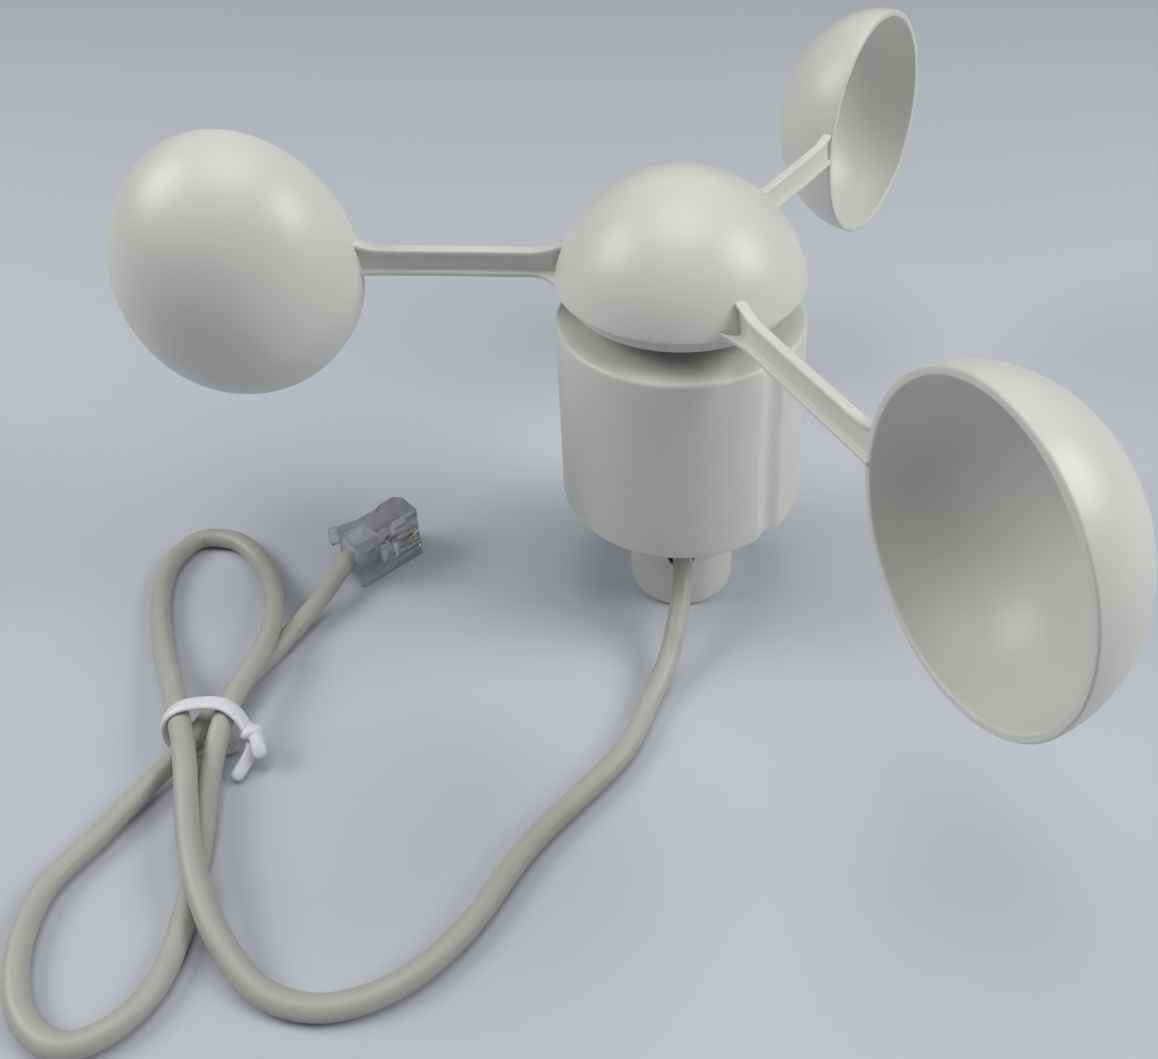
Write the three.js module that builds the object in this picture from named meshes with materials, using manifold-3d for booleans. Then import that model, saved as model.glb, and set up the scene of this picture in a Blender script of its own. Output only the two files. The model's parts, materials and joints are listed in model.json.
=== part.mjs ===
// Three-cup anemometer on a round housing, with a signal cable and a clear modular plug.
// Units are millimetres, +Z is up. The origin is the centre of the spigot's end face, on the spin axis.
// The cable leaves towards -Y. The rotor turns about +Z on two ball bearings.
import * as THREE from 'three';
import { mergeVertices } from 'three/addons/utils/BufferGeometryUtils.js';
import Module from 'manifold-3d';

const wasm = await Module();
wasm.setup();

// ---- driving dimensions -------------------------------------------------------------------
const GAP = 0.3; // clearance between touching pieces
const SEGMENTS = 32; // facets around the large round parts
const SMALL_SEGMENTS = 14; // facets around the small round parts

const CUP_CIRCLE_RADIUS = 65; // spin axis to cup centre
const CUP_HEIGHT = 58.7; // height of the cup centres
const CUP_HALF_WIDTH = 18.2;
const CUP_HALF_HEIGHT = 20.9;
const CUP_DEPTH = 17.4;
const CUP_WALL = 1.4;
const ROTOR_REST_ANGLE = THREE.MathUtils.degToRad(176.75);
const CUP_COUNT = 3;

const ARM_RISE = 1.1; // arm centre above the cup centres
const ARM_SECTION_HEIGHT = 4.3;
const ARM_FLANGE_WIDTH = 1.6;
const ARM_FLANGE_THICKNESS = 0.9;
const ARM_WEB_THICKNESS = 0.8;
const ARM_LEAN = THREE.MathUtils.degToRad(-6); // the arm's foot leans towards the cup's opening
const ARM_FLARE = 1.1; // how far each flange spreads at its ends
const ARM_FLARE_LENGTH = 5;

const DOME_RADIUS = 18.6;
const DOME_CENTRE_HEIGHT = 55.2;
const DOME_HALF_HEIGHT = 19.05;
const DOME_RIM_HEIGHT = 58.4;
const DOME_WALL = 1.6;
const HUB_BOSS_RADIUS = 4;
const HUB_BOSS_BOTTOM = 62.2;

const HOUSING_TOP_RADIUS = 18.6;
const HOUSING_BOTTOM_RADIUS = 18.95;
const HOUSING_WALL = 1.8;
const HOUSING_BOTTOM = 20.3;
const HOUSING_LEDGE = 51.7;
const NECK_RADIUS = 7.2;
const NECK_TOP = 60.8;
const BEARING_BORE_RADIUS = 5.3;
const BEARING_TUBE_BOTTOM = 42.6;
const FLUTE_ANGLE = THREE.MathUtils.degToRad(-48);
const FLUTE_RADIUS = 2.2;
const FLUTE_DEPTH = 0.7;

const SPIGOT_RADIUS = 8.45;
const SPIGOT_WALL = 1.6;
const BASE_TOP = 23.2;
const BASE_RADIUS = 16.8;
const CABLE_HOLE_HEIGHT = 10.8;
const CABLE_HOLE_RADIUS = 2.7;

const BEARING_OUTER_RADIUS = 5;
const BEARING_BORE = 1.5;
const BEARING_WIDTH = 4;
const UPPER_BEARING_BOTTOM = 55.9;
const LOWER_BEARING_BOTTOM = 44.4;
const BALL_COUNT = 7;
const BALL_RADIUS = 0.75;
const BALL_CIRCLE_RADIUS = 3.25;

const SHAFT_RADIUS = 1.5;
const SHAFT_BOTTOM = 36;
const SHAFT_TOP = 70;

const CARRIER_BOTTOM = 37.2;
const CARRIER_RADIUS = 9;
const MAGNET_CIRCLE_RADIUS = 6.4;
const MAGNET_RADIUS = 2;

const SCREW_CIRCLE_RADIUS = 14.6;
const SCREW_ANGLES = [90, 210, 330].map(THREE.MathUtils.degToRad);
const BOARD_BOTTOM = 29;
const BOARD_THICKNESS = 1.6;
const BOARD_RADIUS = 12;
const BOARD_SCREW_X = 9.4;
const REED_LEAD_X = 7.6;

const CABLE_RADIUS = 1.575;
const CABLE_SIDES = 8;
const CABLE_STEPS = 72;

const TIE_HALF_WIDTH = 0.95;
const TIE_HALF_THICKNESS = 0.45;

const PLUG_CORNER = new THREE.Vector3(-53.3, -4.8, 0); // lower corner next to the cable entry
const PLUG_ANGLE = THREE.MathUtils.degToRad(46.7);
const PLUG_LENGTH = 12.3;
const PLUG_THICKNESS = 6.6;
const PLUG_WIDTH = 9.65; // the plug lies on its edge, so this one stands up
const PLUG_CHAMFER = 1.2;
const CONTACT_PITCH = 1.02;
const CONTACT_HEIGHTS = [-1.5, -0.5, 0.5, 1.5].map((step) => PLUG_WIDTH / 2 + step * CONTACT_PITCH);
const LATCH_WIDTH = 3.2;

// ---- materials ----------------------------------------------------------------------------
const material = (color, roughness, metalness = 0) =>
  new THREE.MeshStandardMaterial({ color, roughness, metalness });
const whiteAbs = () => material(0xdedfd8, 0.45);
const steel = () => material(0xb8bbc0, 0.3, 1);
const brightSteel = () => material(0xd4d6d8, 0.2, 1);
const rubber = () => material(0x2a2b2d, 0.85);
const clearPlastic = () => material(0xe4eaee, 0.12);
const gold = () => material(0xd8b45a, 0.25, 1);
const nylon = () => material(0xc9c6b4, 0.5);

// ---- geometry helpers ---------------------------------------------------------------------
const v2 = (x, y) => new THREE.Vector2(x, y);
const v3 = (x, y, z) => new THREE.Vector3(x, y, z);

// Points of an elliptical arc, from one angle to another, both ends included.
function arc(cx, cy, rx, ry, from, to, steps) {
  return Array.from({ length: steps + 1 }, (_, i) => {
    const angle = from + ((to - from) * i) / steps;
    return v2(cx + rx * Math.cos(angle), cy + ry * Math.sin(angle));
  });
}

// A merged, position-only copy of a geometry, with its faces turned outwards.
function plain(geometry) {
  const copy = new THREE.BufferGeometry();
  copy.setAttribute('position', geometry.getAttribute('position').clone());
  if (geometry.index) copy.setIndex(geometry.index.clone());
  const merged = mergeVertices(copy, 1e-4);
  const position = merged.getAttribute('position');
  const index = merged.index.array;
  const kept = [];
  let volume = 0;
  const [a, b, c] = [v3(), v3(), v3()];
  for (let i = 0; i < index.length; i += 3) {
    const [ia, ib, ic] = index.slice(i, i + 3);
    if (ia === ib || ib === ic || ic === ia) continue;
    a.fromBufferAttribute(position, ia);
    b.fromBufferAttribute(position, ib);
    c.fromBufferAttribute(position, ic);
    volume += a.dot(b.clone().cross(c));
    kept.push(ia, ib, ic);
  }
  if (volume < 0) kept.reverse();
  merged.setIndex(kept);
  return merged;
}

// Turn a profile of (radius, height) points about the Z axis.
function revolve(profile, segments = SEGMENTS) {
  return plain(new THREE.LatheGeometry(profile, segments).rotateX(Math.PI / 2));
}

// A closed ring whose section is a rectangle.
function ring(inner, outer, bottom, top, segments = SMALL_SEGMENTS) {
  const section = [v2(inner, bottom), v2(outer, bottom), v2(outer, top), v2(inner, top), v2(inner, bottom)];
  return revolve(section, segments);
}

// A solid round bar along Z with small chamfers at both ends.
function bar(radius, bottom, top, segments = SMALL_SEGMENTS, chamfer = 0.2) {
  return revolve([
    v2(0, bottom),
    v2(radius - chamfer, bottom),
    v2(radius, bottom + chamfer),
    v2(radius, top - chamfer),
    v2(radius - chamfer, top),
    v2(0, top),
  ], segments);
}

function box(width, depth, height) {
  return plain(new THREE.BoxGeometry(width, depth, height));
}

function toSolid(geometry) {
  const clean = plain(geometry);
  return new wasm.Manifold(new wasm.Mesh({
    numProp: 3,
    vertProperties: new Float32Array(clean.getAttribute('position').array),
    triVerts: new Uint32Array(clean.index.array),
  }));
}

function fromSolid(solid) {
  const mesh = solid.getMesh();
  const geometry = new THREE.BufferGeometry();
  geometry.setAttribute('position', new THREE.Float32BufferAttribute(mesh.vertProperties, 3));
  geometry.setIndex([...mesh.triVerts]);
  return plain(geometry);
}

function union(first, ...others) {
  return fromSolid(others.reduce((sum, next) => sum.add(toSolid(next)), toSolid(first)));
}

function subtract(first, ...others) {
  return fromSolid(others.reduce((rest, next) => rest.subtract(toSolid(next)), toSolid(first)));
}

// A tube along a smooth curve through the points, of round section or of a flatter, oval one.
function tube(points, radius, sides, steps, thickness = radius) {
  const section = new THREE.Shape(arc(0, 0, radius, thickness, 0, 2 * Math.PI, sides).slice(0, -1));
  const path = new THREE.CatmullRomCurve3(points, false, 'centripetal');
  return plain(new THREE.ExtrudeGeometry(section, { steps, bevelEnabled: false, extrudePath: path }));
}

// A flat outline in the XZ plane, made thick along Y and centred on it.
function plate(outline, thickness) {
  const geometry = new THREE.ExtrudeGeometry(new THREE.Shape(outline), {
    depth: thickness,
    bevelEnabled: false,
  });
  return plain(geometry.rotateX(Math.PI / 2).translate(0, thickness / 2, 0));
}

function mesh(name, geometry, finish) {
  geometry.computeVertexNormals();
  const piece = new THREE.Mesh(geometry, finish);
  piece.name = name;
  return piece;
}

// ---- rotor --------------------------------------------------------------------------------
// One cup: half an egg-shaped shell with a rounded lip. It opens towards -Y.
function cupGeometry() {
  const lip = CUP_WALL / 2;
  const outer = arc(0, 0, CUP_HALF_HEIGHT, CUP_DEPTH, -Math.PI / 2, 0, 8);
  const edge = arc(CUP_HALF_HEIGHT - lip, 0, lip, lip, 0, Math.PI, 3).slice(1, -1);
  const inner = arc(0, 0, CUP_HALF_HEIGHT - CUP_WALL, CUP_DEPTH - CUP_WALL, 0, -Math.PI / 2, 7);
  outer[0].x = 0;
  inner[inner.length - 1].x = 0;
  const shell = new THREE.LatheGeometry([...outer, ...edge, ...inner], 24);
  shell.scale(CUP_HALF_WIDTH / CUP_HALF_HEIGHT, 1, 1);
  return plain(shell.rotateX(Math.PI));
}

// A solid egg that is larger than an ellipsoid by the gap, for trimming the arms' ends.
function grownEllipsoid(rx, ry, rz) {
  return new THREE.SphereGeometry(1, 32, 20).scale(rx + GAP, ry + GAP, rz + GAP);
}

// Height of a flange's outer edge over the arm's centre line: it spreads towards both ends.
function flangeHeight(radius, start, end) {
  const nearStart = Math.max(0, 1 - (radius - start) / ARM_FLARE_LENGTH);
  const nearEnd = Math.max(0, 1 - (end - radius) / ARM_FLARE_LENGTH);
  return ARM_SECTION_HEIGHT / 2 + ARM_FLARE * Math.max(nearStart, nearEnd) ** 2;
}

// I-section arm along +X, its flanges spread into a fork at the dome and at the cup.
function armGeometry() {
  const start = DOME_RADIUS - 2;
  const end = CUP_CIRCLE_RADIUS - CUP_HALF_WIDTH + 1;
  const steps = 18;
  const stations = Array.from({ length: steps + 1 }, (_, i) => start + ((end - start) * i) / steps);
  const edge = (side, inset) => stations.map((x) => v2(x, side * (flangeHeight(x, start, end) - inset)));
  const strip = (side) => [...edge(side, 0), ...edge(side, ARM_FLANGE_THICKNESS).reverse()];
  const web = [...edge(1, ARM_FLANGE_THICKNESS / 2), ...edge(-1, ARM_FLANGE_THICKNESS / 2).reverse()];
  const beam = union(
    plate(web, ARM_WEB_THICKNESS),
    plate(strip(1), ARM_FLANGE_WIDTH),
    plate(strip(-1), ARM_FLANGE_WIDTH),
  );
  const arm = beam.rotateX(ARM_LEAN).translate(0, 0, CUP_HEIGHT + ARM_RISE);
  const dome = grownEllipsoid(DOME_RADIUS, DOME_RADIUS, DOME_HALF_HEIGHT).translate(0, 0, DOME_CENTRE_HEIGHT);
  const cup = grownEllipsoid(CUP_HALF_WIDTH, CUP_DEPTH, CUP_HALF_HEIGHT);
  return subtract(arm, dome, cup.translate(CUP_CIRCLE_RADIUS, 0, CUP_HEIGHT));
}

// Hub: a domed cover with a central boss that holds the shaft.
function hubDomeGeometry() {
  const rimAngle = Math.asin((DOME_RIM_HEIGHT - DOME_CENTRE_HEIGHT) / DOME_HALF_HEIGHT);
  const innerRadius = DOME_RADIUS - DOME_WALL;
  const innerHeight = DOME_HALF_HEIGHT - DOME_WALL;
  const innerRimAngle = Math.asin((DOME_RIM_HEIGHT - DOME_CENTRE_HEIGHT) / innerHeight);
  const bossAngle = Math.acos(HUB_BOSS_RADIUS / innerRadius);
  const outer = arc(0, DOME_CENTRE_HEIGHT, DOME_RADIUS, DOME_HALF_HEIGHT, Math.PI / 2, rimAngle, 9);
  const inner = arc(0, DOME_CENTRE_HEIGHT, innerRadius, innerHeight, innerRimAngle, bossAngle, 6);
  outer[0].x = 0;
  const boreRadius = SHAFT_RADIUS + GAP;
  const boss = [
    v2(HUB_BOSS_RADIUS, HUB_BOSS_BOTTOM),
    v2(boreRadius, HUB_BOSS_BOTTOM),
    v2(boreRadius, SHAFT_TOP + GAP),
    v2(0, SHAFT_TOP + GAP),
  ];
  return revolve([...outer, ...inner, ...boss]);
}

// Push-on clip that keeps the carrier on the shaft: a split ring.
function shaftClipGeometry() {
  const clip = ring(SHAFT_RADIUS + GAP, 3.2, SHAFT_BOTTOM + 0.4, SHAFT_BOTTOM + 0.9);
  return subtract(clip, box(1.6, 4, 3).translate(0, -3, SHAFT_BOTTOM + 0.6));
}

// Disc on the shaft with two open pockets for the magnets on its underside.
function magnetCarrierGeometry() {
  const bore = SHAFT_RADIUS + GAP;
  const disc = revolve([
    v2(bore, CARRIER_BOTTOM),
    v2(CARRIER_RADIUS, CARRIER_BOTTOM),
    v2(CARRIER_RADIUS, CARRIER_BOTTOM + 3.6),
    v2(3.4, CARRIER_BOTTOM + 3.6),
    v2(3.4, CARRIER_BOTTOM + 5),
    v2(bore, CARRIER_BOTTOM + 5),
    v2(bore, CARRIER_BOTTOM),
  ]);
  const pocket = (x) => bar(MAGNET_RADIUS + GAP, CARRIER_BOTTOM - 1, CARRIER_BOTTOM + 2.6)
    .translate(x, 0, 0);
  return subtract(disc, pocket(MAGNET_CIRCLE_RADIUS), pocket(-MAGNET_CIRCLE_RADIUS));
}

function magnetGeometry(x) {
  return bar(MAGNET_RADIUS, CARRIER_BOTTOM - 0.4, CARRIER_BOTTOM + 2.3).translate(x, 0, 0);
}

function rotor() {
  const group = new THREE.Group();
  group.rotation.z = ROTOR_REST_ANGLE;
  group.add(mesh('hub_dome', hubDomeGeometry(), whiteAbs()));
  for (let i = 0; i < CUP_COUNT; i += 1) {
    const branch = new THREE.Group();
    branch.rotation.z = (i * 2 * Math.PI) / CUP_COUNT;
    branch.add(mesh(`arm_${i + 1}`, armGeometry(), whiteAbs()));
    const cup = mesh(`cup_${i + 1}`, cupGeometry(), whiteAbs());
    cup.position.set(CUP_CIRCLE_RADIUS, 0, CUP_HEIGHT);
    branch.add(cup);
    group.add(branch);
  }
  group.add(mesh('rotor_shaft', bar(SHAFT_RADIUS, SHAFT_BOTTOM, SHAFT_TOP), brightSteel()));
  const washerBottom = UPPER_BEARING_BOTTOM + BEARING_WIDTH + GAP;
  group.add(mesh('hub_washer', ring(1.8, 2.8, washerBottom, washerBottom + 1.4), brightSteel()));
  const spacerBottom = LOWER_BEARING_BOTTOM + BEARING_WIDTH + GAP;
  group.add(mesh('inner_spacer', ring(1.8, 2.5, spacerBottom, UPPER_BEARING_BOTTOM - GAP), steel()));
  group.add(mesh('magnet_carrier', magnetCarrierGeometry(), nylon()));
  group.add(mesh('magnet_1', magnetGeometry(MAGNET_CIRCLE_RADIUS), steel()));
  group.add(mesh('magnet_2', magnetGeometry(-MAGNET_CIRCLE_RADIUS), steel()));
  group.add(mesh('shaft_clip', shaftClipGeometry(), steel()));
  return group;
}

// ---- bearings -----------------------------------------------------------------------------
// Cage ring with its balls, which run between the two rings of the bearing.
function ballCageGeometry() {
  const middle = BEARING_WIDTH / 2;
  const balls = Array.from({ length: BALL_COUNT }, (_, i) => {
    const angle = (i * 2 * Math.PI) / BALL_COUNT;
    const ball = new THREE.SphereGeometry(BALL_RADIUS, 6, 4);
    return ball.translate(
      BALL_CIRCLE_RADIUS * Math.cos(angle),
      BALL_CIRCLE_RADIUS * Math.sin(angle),
      middle,
    );
  });
  const cage = ring(BALL_CIRCLE_RADIUS - 0.4, BALL_CIRCLE_RADIUS + 0.4, middle - 0.3, middle + 0.3);
  return union(cage, ...balls);
}

function bearing(prefix, bottom) {
  const group = new THREE.Group();
  group.position.z = bottom;
  const track = BALL_RADIUS + GAP;
  const innerEdge = BALL_CIRCLE_RADIUS - track;
  const outerEdge = BALL_CIRCLE_RADIUS + track;
  const innerRing = ring(BEARING_BORE + GAP, innerEdge + 0.1, 0, BEARING_WIDTH);
  const outerRing = ring(outerEdge, BEARING_OUTER_RADIUS, 0, BEARING_WIDTH);
  group.add(mesh(`${prefix}_inner_ring`, innerRing, steel()));
  group.add(mesh(`${prefix}_outer_ring`, outerRing, steel()));
  group.add(mesh(`${prefix}_ball_cage`, ballCageGeometry(), brightSteel()));
  return group;
}

// ---- housing and base ---------------------------------------------------------------------
// One moulding: outer wall, sloping top, and the tube that holds the bearings.
function housingGeometry() {
  const wallInside = HOUSING_TOP_RADIUS - HOUSING_WALL;
  const plateUnder = HOUSING_LEDGE - 2;
  const shell = revolve([
    v2(HOUSING_BOTTOM_RADIUS - 0.5, HOUSING_BOTTOM),
    v2(HOUSING_BOTTOM_RADIUS, HOUSING_BOTTOM + 0.5),
    v2(HOUSING_TOP_RADIUS, HOUSING_LEDGE - 0.9),
    v2(HOUSING_TOP_RADIUS - 0.3, HOUSING_LEDGE - 0.2),
    v2(HOUSING_TOP_RADIUS - 0.9, HOUSING_LEDGE),
    v2(NECK_RADIUS + 1.5, HOUSING_LEDGE + 1.4),
    v2(NECK_RADIUS, HOUSING_LEDGE + 2.6),
    v2(NECK_RADIUS, NECK_TOP - 0.4),
    v2(NECK_RADIUS - 0.4, NECK_TOP),
    v2(3.6, NECK_TOP),
    v2(3.6, UPPER_BEARING_BOTTOM + BEARING_WIDTH + GAP),
    v2(BEARING_BORE_RADIUS, UPPER_BEARING_BOTTOM + BEARING_WIDTH + GAP),
    v2(BEARING_BORE_RADIUS, BEARING_TUBE_BOTTOM),
    v2(NECK_RADIUS, BEARING_TUBE_BOTTOM),
    v2(NECK_RADIUS, plateUnder),
    v2(wallInside, plateUnder),
    v2(wallInside, BASE_TOP + 2),
    v2(wallInside + 0.5, HOUSING_BOTTOM),
    v2(HOUSING_BOTTOM_RADIUS - 0.5, HOUSING_BOTTOM),
  ], 36);
  const bosses = SCREW_ANGLES.map((angle) => bar(2.4, BASE_TOP + GAP, plateUnder + 0.5, 14, 0.1)
    .translate(SCREW_CIRCLE_RADIUS * Math.cos(angle), SCREW_CIRCLE_RADIUS * Math.sin(angle), 0));
  const pilots = SCREW_ANGLES.map((angle) => bar(1.25, BASE_TOP - 2, BASE_TOP + 12, 12, 0.1)
    .translate(SCREW_CIRCLE_RADIUS * Math.cos(angle), SCREW_CIRCLE_RADIUS * Math.sin(angle), 0));
  const fluteCentre = HOUSING_TOP_RADIUS + FLUTE_RADIUS - FLUTE_DEPTH;
  const flute = bar(FLUTE_RADIUS, HOUSING_BOTTOM - 3, HOUSING_LEDGE + 0.4, 24)
    .translate(fluteCentre * Math.cos(FLUTE_ANGLE), fluteCentre * Math.sin(FLUTE_ANGLE), 0);
  return subtract(union(shell, ...bosses), ...pilots, flute);
}

// Floor of the housing with the closed-end mounting spigot under it.
function baseCapGeometry() {
  const tubeInside = SPIGOT_RADIUS - SPIGOT_WALL;
  const floorUnder = HOUSING_BOTTOM + 0.3;
  const cap = revolve([
    v2(0, 0),
    v2(SPIGOT_RADIUS - 0.8, 0),
    v2(SPIGOT_RADIUS, 0.8),
    v2(SPIGOT_RADIUS + 0.1, floorUnder),
    v2(BASE_RADIUS - GAP, floorUnder),
    v2(BASE_RADIUS - GAP, BASE_TOP),
    v2(tubeInside, BASE_TOP),
    v2(tubeInside, 1.8),
    v2(0, 1.8),
  ]);
  const posts = [-BOARD_SCREW_X, BOARD_SCREW_X].map((x) => bar(2.2, BASE_TOP - 0.5, BOARD_BOTTOM - GAP, 14)
    .translate(x, 0, 0));
  const postHoles = [-BOARD_SCREW_X, BOARD_SCREW_X].map((x) => bar(1.1, BASE_TOP + 1, BOARD_BOTTOM + 1, 12)
    .translate(x, 0, 0));
  const screwHoles = SCREW_ANGLES.flatMap((angle) => {
    const x = SCREW_CIRCLE_RADIUS * Math.cos(angle);
    const y = SCREW_CIRCLE_RADIUS * Math.sin(angle);
    const clearance = bar(1.25, floorUnder - 1, BASE_TOP + 1, 12, 0.1).translate(x, y, 0);
    const recess = bar(2.3, floorUnder - 1, floorUnder + 1.5, 14, 0.1).translate(x, y, 0);
    return [clearance, recess];
  });
  const cableHole = bar(CABLE_HOLE_RADIUS, 0, SPIGOT_RADIUS + 3, 16)
    .rotateX(Math.PI / 2)
    .translate(0, 0, CABLE_HOLE_HEIGHT);
  return subtract(union(cap, ...posts), ...postHoles, ...screwHoles, cableHole);
}

// Pan-head screw that points up, its head at the bottom.
function screwGeometry(headRadius, headHeight, shankRadius, length) {
  return revolve([
    v2(0, 0),
    v2(headRadius - 0.4, 0),
    v2(headRadius, 0.4),
    v2(headRadius, headHeight),
    v2(shankRadius, headHeight),
    v2(shankRadius, headHeight + length - 0.8),
    v2(0, headHeight + length),
  ], 14);
}

function baseScrews() {
  return SCREW_ANGLES.map((angle, i) => {
    const screw = mesh(`base_screw_${i + 1}`, screwGeometry(2, 1, 0.95, 10), steel());
    screw.position.set(
      SCREW_CIRCLE_RADIUS * Math.cos(angle),
      SCREW_CIRCLE_RADIUS * Math.sin(angle),
      HOUSING_BOTTOM + 0.7,
    );
    return screw;
  });
}

// ---- electrics ----------------------------------------------------------------------------
function boardGeometry() {
  const board = bar(BOARD_RADIUS, BOARD_BOTTOM, BOARD_BOTTOM + BOARD_THICKNESS, 32, 0.1);
  const hole = (x, y, radius) => bar(radius, BOARD_BOTTOM - 1, BOARD_BOTTOM + 3, 12, 0.1).translate(x, y, 0);
  const screwHoles = [-BOARD_SCREW_X, BOARD_SCREW_X].map((x) => hole(x, 0, 1.1));
  const leadHoles = [-REED_LEAD_X, REED_LEAD_X].map((x) => hole(x, MAGNET_CIRCLE_RADIUS, 0.6));
  return subtract(board, ...screwHoles, ...leadHoles);
}

function boardScrews() {
  return [-BOARD_SCREW_X, BOARD_SCREW_X].map((x, i) => {
    const screw = mesh(`board_screw_${i + 1}`, screwGeometry(1.7, 1, 0.8, 4), steel());
    screw.rotation.x = Math.PI;
    screw.position.set(x, 0, BOARD_BOTTOM + BOARD_THICKNESS + GAP + 1);
    return screw;
  });
}

// Glass reed switch lying over the board, under the circle that the magnets run on.
function reedSwitch() {
  const group = new THREE.Group();
  group.position.set(0, MAGNET_CIRCLE_RADIUS, BOARD_BOTTOM + BOARD_THICKNESS + 2);
  const glass = bar(1.1, -5.5, 5.5, 16, 0.5).rotateY(Math.PI / 2);
  group.add(mesh('reed_switch', glass, material(0xbfd0c4, 0.1)));
  [-1, 1].forEach((side, i) => {
    const lead = tube([
      v3(side * 5.8, 0, 0),
      v3(side * 6.9, 0, 0),
      v3(side * REED_LEAD_X, 0, -0.7),
      v3(side * REED_LEAD_X, 0, -2.8),
    ], 0.28, 8, 8);
    group.add(mesh(`reed_lead_${i + 1}`, lead, brightSteel()));
  });
  return group;
}

// Rubber bush in the spigot's side hole, which the cable passes through.
function grommetGeometry() {
  const bush = ring(CABLE_RADIUS + GAP, CABLE_HOLE_RADIUS - GAP, -0.6, 1.6);
  const flange = ring(CABLE_RADIUS + GAP, 3.2, -1.5, -0.5);
  return union(bush, flange)
    .rotateX(Math.PI / 2)
    .translate(0, -(SPIGOT_RADIUS - SPIGOT_WALL) + 0.6, CABLE_HOLE_HEIGHT);
}

// The stretch of cable inside the spigot, up to just under the board.
function innerCableGeometry() {
  return tube([
    v3(0, -7.9, CABLE_HOLE_HEIGHT),
    v3(0, -5.2, CABLE_HOLE_HEIGHT),
    v3(0, -1.6, 13.6),
    v3(0, 0, 18),
    v3(0, 0, 24.4),
  ], CABLE_RADIUS, CABLE_SIDES, 12);
}

// Two insulated cores that run from the cable's end to the board's underside.
function coreWires() {
  return [-1, 1].map((side, i) => {
    const path = [v3(side * 0.7, 0, 24.7), v3(side * 1.2, 0.4, 26.4), v3(side * 3.2, 1.4, 28.7)];
    return mesh(`core_wire_${i + 1}`, tube(path, 0.45, 8, 6), material(i ? 0x2f7d3a : 0xb3312c, 0.5));
  });
}

function stator() {
  const group = new THREE.Group();
  group.add(mesh('housing', housingGeometry(), whiteAbs()));
  group.add(mesh('base_cap', baseCapGeometry(), whiteAbs()));
  group.add(...baseScrews());
  const spacerBottom = LOWER_BEARING_BOTTOM + BEARING_WIDTH + GAP;
  const sleeve = (bottom, top) => ring(4.2, BEARING_OUTER_RADIUS, bottom, top);
  group.add(mesh('outer_spacer', sleeve(spacerBottom, UPPER_BEARING_BOTTOM - GAP), nylon()));
  group.add(mesh('bearing_retainer', sleeve(BEARING_TUBE_BOTTOM + 0.1, LOWER_BEARING_BOTTOM - GAP), nylon()));
  group.add(mesh('circuit_board', boardGeometry(), material(0x2f6b45, 0.5)));
  group.add(...boardScrews());
  group.add(reedSwitch());
  group.add(mesh('cable_grommet', grommetGeometry(), rubber()));
  group.add(mesh('inner_cable', innerCableGeometry(), material(0xb4b3a8, 0.6)));
  group.add(...coreWires());
  return group;
}

// ---- cable, tie and plug ------------------------------------------------------------------
// The free cable: out of the spigot, down to the surface, through three crossings, to the plug.
const CABLE_ROUTE = [
  [0.3, -9.3, 10.8], [0.2, -12.4, 10], [-0.5, -17.2, 6.8], [-2, -22.6, 3.4],
  [-4.6, -29, 1.8], [-8, -37.7, 1.7], [-19.6, -52.2, 1.7], [-27.6, -65.5, 1.7],
  [-34.6, -71.6, 1.7], [-42.3, -73.7, 1.7], [-49.7, -71.9, 1.9], [-56, -66.7, 3.6],
  [-61, -59.8, 5.1], [-64.6, -52.6, 5.3], [-69, -41.4, 6.3], [-74.3, -31.6, 4.9],
  [-82.2, -17.2, 2], [-85.7, -8.6, 1.75], [-86.9, -0.9, 1.7], [-84.2, 5.1, 1.7],
  [-77.6, 4.8, 1.7], [-70.9, -1.4, 1.8], [-65.9, -10.9, 3.5], [-63.9, -20.9, 5.2],
  [-64.9, -29.7, 5.8], [-65.4, -35.8, 5.6], [-65.4, -43.2, 2.9], [-63, -55.5, 1.75],
  [-62.3, -70.9, 1.7], [-65.9, -76.5, 1.7], [-70.8, -78.2, 1.7], [-76.4, -75.2, 1.7],
  [-80.4, -68.7, 1.7], [-81.4, -59.7, 1.7], [-77.6, -51.8, 1.75], [-70.8, -38.7, 2.75],
  [-66.6, -27.1, 2.3], [-63.6, -19.9, 1.7], [-59.4, -11.4, 2.8], [-55.2, -2, 4.83],
];

function cableGeometry() {
  return tube(CABLE_ROUTE.map((point) => v3(...point)), CABLE_RADIUS, CABLE_SIDES, CABLE_STEPS);
}

// Flat coated wire tie round the three runs of cable. Its ends cross in a knot beside them.
const TIE_LOOP = [
  [-61.6, -37.2, 4.4], [-63.6, -37, 1.7], [-65.8, -37, 0.6], [-71.4, -37, 0.6],
  [-73.3, -37.1, 1.7], [-74.1, -37, 4.2], [-73.6, -36.2, 7.1], [-71.5, -35.2, 8.5],
  [-68.4, -34.6, 8.8], [-65.2, -34.9, 8.2], [-63.1, -35.9, 6.7], [-61.6, -37.2, 4.6],
];
const TIE_TAILS = [
  [[-61.4, -37.2, 4.5], [-60.2, -38.2, 4.6], [-59.5, -39.4, 4], [-59, -40.6, 2.9]],
  [[-61.4, -37.2, 4.5], [-60.6, -38.2, 3.2], [-61.3, -40.2, 1.9], [-62.6, -42.6, 1.1]],
];

function tieGeometry() {
  const strap = (points, steps) => tube(points.map((point) => v3(...point)), TIE_HALF_WIDTH, 8, steps,
    TIE_HALF_THICKNESS);
  const knot = new THREE.SphereGeometry(TIE_HALF_WIDTH * 1.2, 10, 6).translate(...TIE_TAILS[0][0]);
  return union(knot, strap(TIE_LOOP, 24), ...TIE_TAILS.map((points) => strap(points, 6)));
}

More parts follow.
